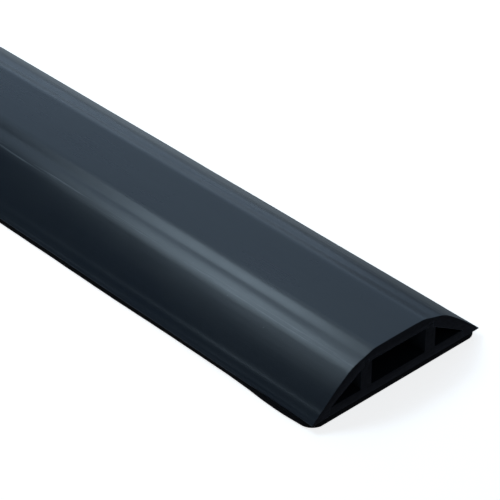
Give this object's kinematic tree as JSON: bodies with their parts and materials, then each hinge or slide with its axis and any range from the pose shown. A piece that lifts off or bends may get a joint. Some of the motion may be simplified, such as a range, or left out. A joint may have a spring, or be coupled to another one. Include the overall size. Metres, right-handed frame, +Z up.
{
  "type": "cable protector ramp",
  "caption": "Low arched floor ramp that covers cables, with a lift-off cover over a divided tray on a grip mat.",
  "frame": {"origin": "centre of the footprint, on the floor under the grip mat", "axes": "+X along the length, +Y across the width, +Z up"},
  "size_m": [0.5, 0.075, 0.0188],
  "materials": {
    "cover_pvc": "satin black flexible PVC, smooth extruded skin",
    "tray_pvc": "matte black flexible PVC, saw-cut ends",
    "mat_rubber": "matte black rubber sheet",
    "tape": "double-sided acrylic foam tape"
  },
  "bodies": {
    "base": {"cable_tray": "tray_pvc", "grip_mat": "mat_rubber", "bonding_tape_left": "tape", "bonding_tape_right": "tape"},
    "cover": {"top_cover": "cover_pvc"}
  },
  "joints": [
    {"name": "cover_lift", "type": "slide", "parent": "base", "child": "cover", "axis": [0, 0, 1], "range_m": [0, 0.04]}
  ]
}
